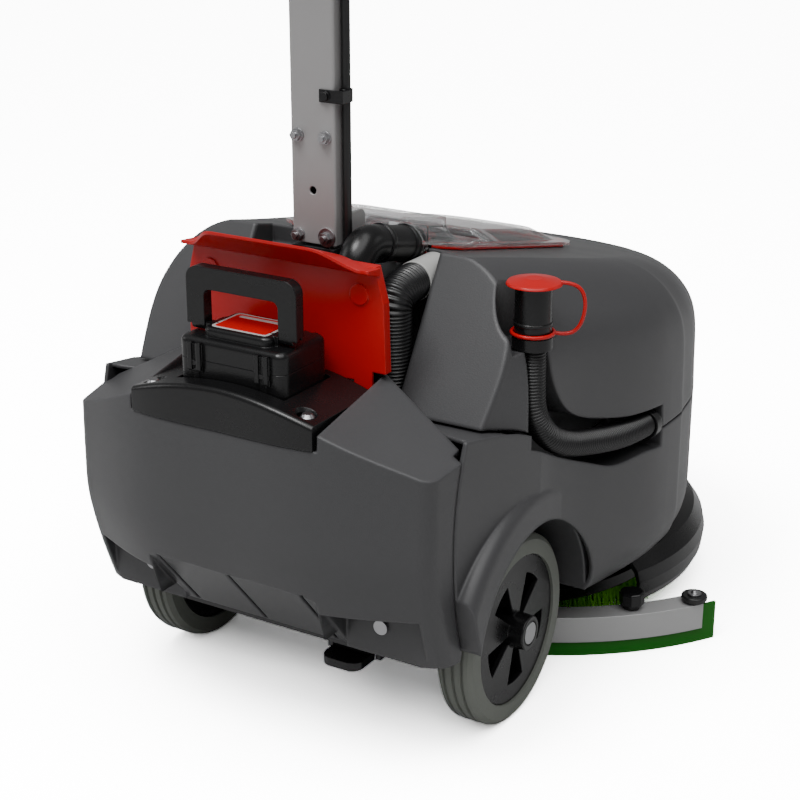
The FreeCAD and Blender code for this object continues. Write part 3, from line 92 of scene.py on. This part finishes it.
def edge_sheen_and_wear(tree, shade, radius, wear):
    """Rounds the edges' shading, lightens the colour there as a painted highlight that partly
    stands for wear, and returns both sockets.
    """
    edge = add_node(tree, "ShaderNodeBevel", Radius=radius)
    edge.samples = 8
    face = add_node(tree, "ShaderNodeNewGeometry")
    match = add_node(tree, "ShaderNodeVectorMath")
    match.operation = "DOT_PRODUCT"
    tree.links.new(edge.outputs["Normal"], match.inputs[0])
    tree.links.new(face.outputs["True Normal"], match.inputs[1])
    # Painted highlight, partly wear: the colour is lightened where the rounded edge normal turns
    # away from the face's normal.
    sheen_and_wear_gain = add_node(tree, "ShaderNodeMapRange", From_Min=0.85, From_Max=0.995,
                    To_Min=1 + wear, To_Max=1)
    tree.links.new(match.outputs["Value"], sheen_and_wear_gain.inputs["Value"])
    edge_tinted = scaled(tree, sheen_and_wear_gain.outputs["Result"])
    tree.links.new(shade, edge_tinted.inputs[0])
    return edge_tinted.outputs["Vector"], edge.outputs["Normal"]


def fine_grain(tree, where, strength, size, normal):
    """A fine moulded or sprayed grain as bump, on top of a normal if there is one."""
    fine = add_node(tree, "ShaderNodeTexNoise", Scale=size, Detail=2)
    tree.links.new(where, fine.inputs["Vector"])
    bump = add_node(tree, "ShaderNodeBump", Strength=strength, Distance=0.0004)
    tree.links.new(fine.outputs["Fac"], bump.inputs["Height"])
    if normal:
        tree.links.new(normal, bump.inputs["Normal"])
    return bump.outputs["Normal"]


def material(name, colour, rough, metal=0.0, grain=0.0, grain_size=900.0, mottle=0.06,
             rough_mottle=0.06, soften=0.0, wear=0.5, **inputs):
    """A surface with fine grain, faint mottling and optional soft edges, their colour lightened
    as a painted highlight that partly stands for wear.
    """
    mat = bpy.data.materials.new(name)
    mat.use_nodes = True
    tree = mat.node_tree
    shader = tree.nodes["Principled BSDF"]
    shader.inputs["Metallic"].default_value = metal
    for key, value in inputs.items():
        shader.inputs[key.replace("_", " ")].default_value = value
    where = add_node(tree, "ShaderNodeTexCoord").outputs["Object"]
    broad = add_node(tree, "ShaderNodeTexNoise", Scale=14, Detail=5)
    tree.links.new(where, broad.inputs["Vector"])
    tint = add_node(tree, "ShaderNodeMapRange", To_Min=1 - mottle, To_Max=1 + mottle)
    tree.links.new(broad.outputs["Fac"], tint.inputs["Value"])
    product = scaled(tree, tint.outputs["Result"])
    product.inputs[0].default_value = colour
    shade, normal = product.outputs["Vector"], None
    gloss = add_node(tree, "ShaderNodeMapRange", To_Min=max(0.02, rough - rough_mottle),
                     To_Max=rough + rough_mottle)
    tree.links.new(broad.outputs["Fac"], gloss.inputs["Value"])
    tree.links.new(gloss.outputs["Result"], shader.inputs["Roughness"])
    if soften:
        # Soft edges also get a lighter colour, a painted highlight that partly stands for wear.
        shade, normal = edge_sheen_and_wear(tree, shade, soften, wear)
    if grain:
        normal = fine_grain(tree, where, grain, grain_size, normal)
    tree.links.new(shade, shader.inputs["Base Color"])
    if normal:
        tree.links.new(normal, shader.inputs["Normal"])
    return mat


# The edge lightening set in these finishes is a painted highlight that partly stands for wear.
FINISHES = {
    "grey_body": dict(colour=(0.040, 0.040, 0.042), rough=0.42, grain=0.25, soften=0.0045,
                      mottle=0.04, Specular_IOR_Level=0.4),
    "black_plastic": dict(colour=(0.0045, 0.0045, 0.0048), rough=0.27, grain=0.12,
                          soften=0.0014, Specular_IOR_Level=0.35),
    "red_plastic": dict(colour=(0.40, 0.0012, 0.0018), rough=0.33, grain=0.12, soften=0.0014,
                        mottle=0.05, wear=0.25, Specular_IOR_Level=0.35),
    "tyre_grey": dict(colour=(0.118, 0.126, 0.110), rough=0.72, grain=0.5, grain_size=600,
                      mottle=0.1),
    "black_rubber": dict(colour=(0.0060, 0.0060, 0.0064), rough=0.34, grain=0.15,
                         Specular_IOR_Level=0.45),
    "pale_plastic": dict(colour=(0.36, 0.36, 0.35), rough=0.36, grain=0.1, soften=0.001),
    "mast_silver": dict(colour=(0.30, 0.295, 0.295), rough=0.46, metal=0.35, grain=0.35,
                        grain_size=1600, soften=0.0016, wear=0.3),
    "black_steel": dict(colour=(0.010, 0.010, 0.011), rough=0.42, grain=0.3, soften=0.001),
    "bright_steel": dict(colour=(0.36, 0.36, 0.37), rough=0.34, metal=1.0, grain=0.08,
                         soften=0.0006, wear=0.1),
    "motor_metal": dict(colour=(0.45, 0.45, 0.47), rough=0.42, metal=1.0, grain=0.3),
    "bristle_green": dict(colour=(0.17, 0.55, 0.008), rough=0.5, mottle=0.25),
    "blade_green": dict(colour=(0.006, 0.105, 0.003), rough=0.5, grain=0.15, mottle=0.1,
                        Specular_IOR_Level=0.2),
    "clear_plastic": dict(colour=(0.95, 0.96, 0.97), rough=0.03, rough_mottle=0.01, mottle=0.0,
                          Transmission_Weight=1.0, IOR=1.45, Alpha=0.75),
    "bar_silver": dict(colour=(0.34, 0.34, 0.34), rough=0.40, metal=0.3, grain=0.2,
                       soften=0.0012, wear=0.3),
}
MATERIALS = {slot: material(slot, **finish) for slot, finish in FINISHES.items()}
for row in frame["record"]["subparts"]:
    node = nodes[row["node"]]
    node.data.materials.clear()
    node.data.materials.append(MATERIALS[row["material_slot"]])


# ---------------------------------------------------------------- mesh helpers

def mesh_object(name, verts, faces, slot, body=None, smooth=True):
    """A new piece from its points and faces, with its slot's material, riding on a body."""
    mesh = bpy.data.meshes.new(name)
    mesh.from_pydata([tuple(v) for v in verts], [], faces)
    shell = bmesh.new()
    shell.from_mesh(mesh)
    bmesh.ops.recalc_face_normals(shell, faces=shell.faces)
    shell.to_mesh(mesh)
    shell.free()
    mesh.update()
    obj = bpy.data.objects.new(name, mesh)
    bpy.context.scene.collection.objects.link(obj)
    if smooth:
        mesh.shade_smooth()
    mesh.materials.append(MATERIALS[slot])
    if body:
        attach(obj, body)
    return obj


def spline_points(corners):
    """Points along the smooth NURBS line that a route's corners control."""
    data = bpy.data.curves.new("route", "CURVE")
    data.dimensions = "3D"
    spline = data.splines.new("NURBS")
    spline.points.add(len(corners) - 1)
    for point, corner in zip(spline.points, corners):
        point.co = (*corner, 1)
    spline.order_u = 3
    spline.use_endpoint_u = True
    spline.resolution_u = 24
    line = bpy.data.objects.new("route", data)
    mesh = bpy.data.meshes.new_from_object(line)
    points = [vert.co.copy() for vert in mesh.vertices]
    bpy.data.objects.remove(line)
    bpy.data.curves.remove(data)
    bpy.data.meshes.remove(mesh)
    return points


def spline_path(corners, step):
    """Evenly spaced points and directions along a route's smooth line."""
    points = spline_points(corners)
    path, spare = [], 0.0
    for here, there in zip(points, points[1:]):
        along, length = (there - here).normalized(), (there - here).length
        while spare < length:
            path.append((here + along * spare, along))
            spare += step
        spare -= length
    path.append((points[-1], (points[-1] - points[-2]).normalized()))
    return path


def sweep(name, path, radius_at, slot, body=None, sides=32):
    """A closed tube along a path, with its radius given along the length."""
    verts, faces, run = [], [], 0.0
    side = path[0][1].orthogonal().normalized()
    before = path[0][0]
    for point, along in path:
        side = (side - along * side.dot(along)).normalized()
        other = along.cross(side)
        run += (point - before).length
        before = point
        for turn in turns(sides):
            spoke = side * math.cos(turn) + other * math.sin(turn)
            verts.append(point + spoke * radius_at(run))
    for lap in range(len(path) - 1):
        for k in range(sides):
            a, b = lap * sides + k, lap * sides + (k + 1) % sides
            faces.append((a, b, b + sides, a + sides))
    faces.append(tuple(reversed(range(sides))))
    faces.append(tuple(range((len(path) - 1) * sides, len(path) * sides)))
    return mesh_object(name, verts, faces, slot, body)


def ribs(outer, depth, pitch):
    """Radius of a corrugated hose: round crests with narrow grooves."""
    def radius_at(run):
        wave = 0.5 - 0.5 * math.cos(2 * math.pi * run / pitch)
        return outer - depth * (1 - wave ** 0.6)
    return radius_at


def plain(radius):
    """The same radius all the way."""
    return lambda run: radius


# ---------------------------------------------------------------- hoses, cable and strap

def vacuum_hose():
    """Ribbed hose from the tank's cuff down to the squeegee, whose lift raises the real hose's
    lower end; this piece is not attached to the squeegee.
    """
    route = [mm(-88, 10, 452), mm(-88, 50, 452), mm(-88, 50, 412), mm(-88, 50, 230),
             mm(-72, -46, 158), mm(0, -98, 158), mm(0, -98, 86)]
    hose = sweep("vacuum_hose_ribbed", spline_path(route, step=0.00045),
                 ribs(outer=0.019, depth=0.0016, pitch=0.0036), "black_rubber")
    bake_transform(hose)
    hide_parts("vacuum_hose")


def drain_hose():
    """Thinner ribbed hose from under the cap down and forward along the tub."""
    x, y = CUFF_X, CUFF_Y
    route = [mm(x, y, 403), mm(x, y, 372), mm(x - 1, y - 2, 330), mm(x - 12, y - 32, 294),
             mm(x - 28, y - 104, 277), mm(x - 34, y - 168, 266), mm(x - 34, y - 216, 263)]
    hose = sweep("drain_hose_ribbed", spline_path(route, step=0.0004),
                 ribs(outer=0.0135, depth=0.0013, pitch=0.0032), "black_rubber", "frame",
                 sides=28)
    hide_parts("drain_hose")


def power_cable():
    """Straight cable up the mast's side, not bent where the mast folds."""
    route = [mm(CABLE_X - 0.1, CABLE_Y, 118), mm(CABLE_X, CABLE_Y, 560),
             mm(CABLE_X + 0.1, CABLE_Y, 1000)]
    cable = sweep("power_cable", spline_path(route, step=0.006), plain(0.0045), "black_rubber",
                  sides=16)
    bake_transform(cable)
    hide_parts("mast_cable", "cable_tail")


def cap_strap():
    """Loop from the drain cap to a ring around the cuff."""
    thick, ring_radius, ring_height = 0.0019, 20.2, 418
    outward = Vector((-0.855, -0.519, 0))
    side_view = ((24, 466.6), (41, 466), (50, 449), (46, 424), (33, 414), (19, 417.5))
    route = [mm(CUFF_X, CUFF_Y, z) + outward * reach / 1000 for reach, z in side_view]
    strap = sweep("strap_loop", spline_path(route, step=0.002), plain(thick), "red_plastic",
                  sides=12)
    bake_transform(strap)
    circle = [(mm(CUFF_X + ring_radius * math.cos(turn), CUFF_Y + ring_radius * math.sin(turn),
                  ring_height), Vector((-math.sin(turn), math.cos(turn), 0)))
              for turn in turns(48) + [2 * math.pi]]
    sweep("strap_ring", circle, plain(thick), "red_plastic", "frame", sides=12)
    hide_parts("cap_strap")


# ---------------------------------------------------------------- label and wheel backing

def rounded_plate(name, half_x, low_y, high_y, corner, low, top, slot, body):
    """A thin flat plate with rounded corners."""
    rim = []
    for x, y, start in ((half_x, high_y, 0), (-half_x, high_y, 90), (-half_x, low_y, 180),
                        (half_x, low_y, 270)):
        for k in range(7):
            turn = math.radians(start + 15 * k)
            rim.append((x - math.copysign(corner, x) + corner * math.cos(turn),
                        y + (corner if y == low_y else -corner) + corner * math.sin(turn)))
    verts = [mm(x, y, z) for z in (low, top) for x, y in rim]
    count = len(rim)
    faces = [tuple(reversed(range(count))), tuple(range(count, 2 * count))]
    faces += [(k, (k + 1) % count, count + (k + 1) % count, count + k) for k in range(count)]
    mesh_object(name, verts, faces, slot, body, smooth=False)


def battery_label():
    """A plain red field in a grey frame, with one bar, on the battery lid's boss."""
    boss = 433
    rounded_plate("label_frame", half_x=32, low_y=133.5, high_y=179, corner=5,
                  low=boss - 0.1, top=boss + 0.35, slot="pale_plastic", body="battery")
    rounded_plate("label_field", half_x=29, low_y=136, high_y=176.5, corner=3,
                  low=boss + 0.2, top=boss + 0.6, slot="red_plastic", body="battery")
    rounded_plate("label_bar", half_x=24, low_y=140, high_y=145, corner=1.5,
                  low=boss + 0.5, top=boss + 0.8, slot="pale_plastic", body="battery")


def ring_plate(name, x_low, x_high, inner, outer, slot, body, sides=96):
    """A flat ring around the wheel axle."""
    verts, faces = [], []
    for x, radius in ((x_low, inner), (x_low, outer), (x_high, outer), (x_high, inner)):
        verts += [mm(x, radius * math.cos(turn), AXLE_HEIGHT + radius * math.sin(turn))
                  for turn in turns(sides)]
    for lap in range(4):
        near, far = lap * sides, (lap + 1) % 4 * sides
        faces += [(near + k, near + (k + 1) % sides, far + (k + 1) % sides, far + k)
                  for k in range(sides)]
    mesh_object(name, verts, faces, slot, body, smooth=False)


def hub_backings():
    """Thin plates that close the wheel centres' inner sides."""
    for side, inner_face in (("left", 168.0), ("right", -170.0)):
        ring_plate("hub_backing_" + side, x_low=inner_face, x_high=inner_face + 2, inner=19,
                   outer=76, slot="black_plastic", body="wheel_" + side)


# ---------------------------------------------------------------- brush

def filament(top, low, spoke, tangent):
    """Points of one three-sided filament, a little thinner at its tip."""
    verts = []
    for point, radius in ((top, 0.0009), (low, 0.0007)):
        verts += [point + (spoke * math.cos(turn) + tangent * math.sin(turn)) * radius
                  for turn in turns(3)]
    return verts


def bristle_tufts():
    """Rings of splayed filament bundles under the brush disc."""
    rings = (0.116, 0.136, 0.156, 0.176, 0.192, 0.203)
    disc_bottom, bundle, spacing, strands = 0.034, 0.0026, 0.0105, 10
    splay, more_splay, lean = 0.006, 0.003, 0.003
    tip_height, more_height = 0.0004, 0.0015
    verts, faces = [], []
    centre = mm(0, BRUSH_Y, 0)
    for radius in rings:
        count = int(2 * math.pi * radius / spacing)
        stagger = 0.5 if radius == rings[-1] else 0
        for n in range(count):
            turn = 2 * math.pi * (n + stagger) / count
            spoke = Vector((math.cos(turn), math.sin(turn), 0))
            tangent = Vector((-spoke.y, spoke.x, 0))
            for strand in range(strands):
                angle = 2 * math.pi * strand / strands + random.random()
                spread = spoke * math.cos(angle) + tangent * math.sin(angle)
                top = centre + spoke * radius + spread * bundle + Vector((0, 0, disc_bottom))
                reach = splay + more_splay * random.random()
                low = top + spread * reach + spoke * lean
                low.z = tip_height + more_height * random.random()
                first = len(verts)
                verts += filament(top, low, spoke, tangent)
                faces += [(first + k, first + (k + 1) % 3, first + 3 + (k + 1) % 3,
                           first + 3 + k) for k in range(3)]
                faces += [(first + 2, first + 1, first), (first + 3, first + 4, first + 5)]
    bristles = mesh_object("bristle_tufts", verts, faces, "bristle_green", "brush",
                           smooth=False)
    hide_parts("brush_bristles")


# ---------------------------------------------------------------- stage, light and camera

def seen_and_unseen(tree, seen, unseen):
    """A value for what the camera sees directly and another for everything else."""
    rays = add_node(tree, "ShaderNodeLightPath")
    choice = add_node(tree, "ShaderNodeMapRange", To_Min=unseen, To_Max=seen)
    tree.links.new(rays.outputs["Is Camera Ray"], choice.inputs["Value"])
    return choice.outputs["Result"]


def white_floor():
    """A matt floor that looks white but throws little light back up."""
    bpy.ops.mesh.primitive_plane_add(size=30, location=(0, 0, 0))
    floor = bpy.context.object
    floor.name = "floor"
    paper = bpy.data.materials.new("studio_floor")
    paper.use_nodes = True
    tree = paper.node_tree
    tree.nodes.clear()
    matt = add_node(tree, "ShaderNodeBsdfDiffuse")
    target = add_node(tree, "ShaderNodeOutputMaterial")
    tree.links.new(seen_and_unseen(tree, seen=9.0, unseen=0.5), matt.inputs["Color"])
    tree.links.new(matt.outputs["BSDF"], target.inputs["Surface"])
    floor.data.materials.append(paper)


def soft_surroundings():
    """A white background that gives a low, even light."""
    world = bpy.data.worlds.new("soft")
    world.use_nodes = True
    tree = world.node_tree
    background = tree.nodes["Background"]
    background.inputs["Color"].default_value = (1, 1, 1, 1)
    strength = seen_and_unseen(tree, seen=14.0, unseen=0.27)
    tree.links.new(strength, background.inputs["Strength"])
    bpy.context.scene.world = world


def overhead_light():
    """Wide, soft light from above, a little from behind and from the right flank."""
    sky = bpy.data.objects.new("overhead", bpy.data.lights.new("overhead", "SUN"))
    sky.data.energy = 3.4
    sky.data.angle = math.radians(70)
    sky.rotation_euler = Vector((-0.25, 0.5, 1.5)).to_track_quat("Z", "Y").to_euler()
    bpy.context.scene.collection.objects.link(sky)


def lamp(name, place, target, size, power):
    """A round area lamp at a place, facing a target."""
    data = bpy.data.lights.new(name, "AREA")
    data.shape = "DISK"
    data.size = size
    data.energy = power
    light = bpy.data.objects.new(name, data)
    light.location = place
    light.rotation_euler = (Vector(target) - Vector(place)).to_track_quat("-Z", "Y").to_euler()
    bpy.context.scene.collection.objects.link(light)


def rear_camera():
    """The view from behind and from the right flank, looking a little down."""
    camera = bpy.data.objects.new("camera", bpy.data.cameras.new("camera"))
    bpy.context.scene.collection.objects.link(camera)
    yaw, pitch = math.radians(31.25), math.radians(20.41)
    right = Vector((-math.cos(yaw), -math.sin(yaw), 0))
    ahead = Vector((math.sin(yaw) * math.cos(pitch), -math.cos(yaw) * math.cos(pitch),
                    -math.sin(pitch)))
    above = right.cross(ahead)
    turn = Matrix((right, above, -ahead)).transposed().to_4x4()
    camera.matrix_world = Matrix.Translation(mm(-904.84, 1382.49, 923.11)) @ turn
    camera.data.sensor_width = 36
    camera.data.lens = 77.05
    bpy.context.scene.camera = camera


vacuum_hose()
drain_hose()
power_cable()
cap_strap()
battery_label()
hub_backings()
bristle_tufts()
white_floor()
soft_surroundings()
overhead_light()
lamp("key", place=(0.3, 1.5, 2.9), target=(0, 0, 0.3), size=1.2, power=48)
lamp("rim", place=(-2.4, -1.8, 1.9), target=(0, 0, 0.4), size=1.2, power=3)
lamp("left", place=(2.6, 1.2, 1.6), target=(0, 0, 0.4), size=1.4, power=9)
rear_camera()
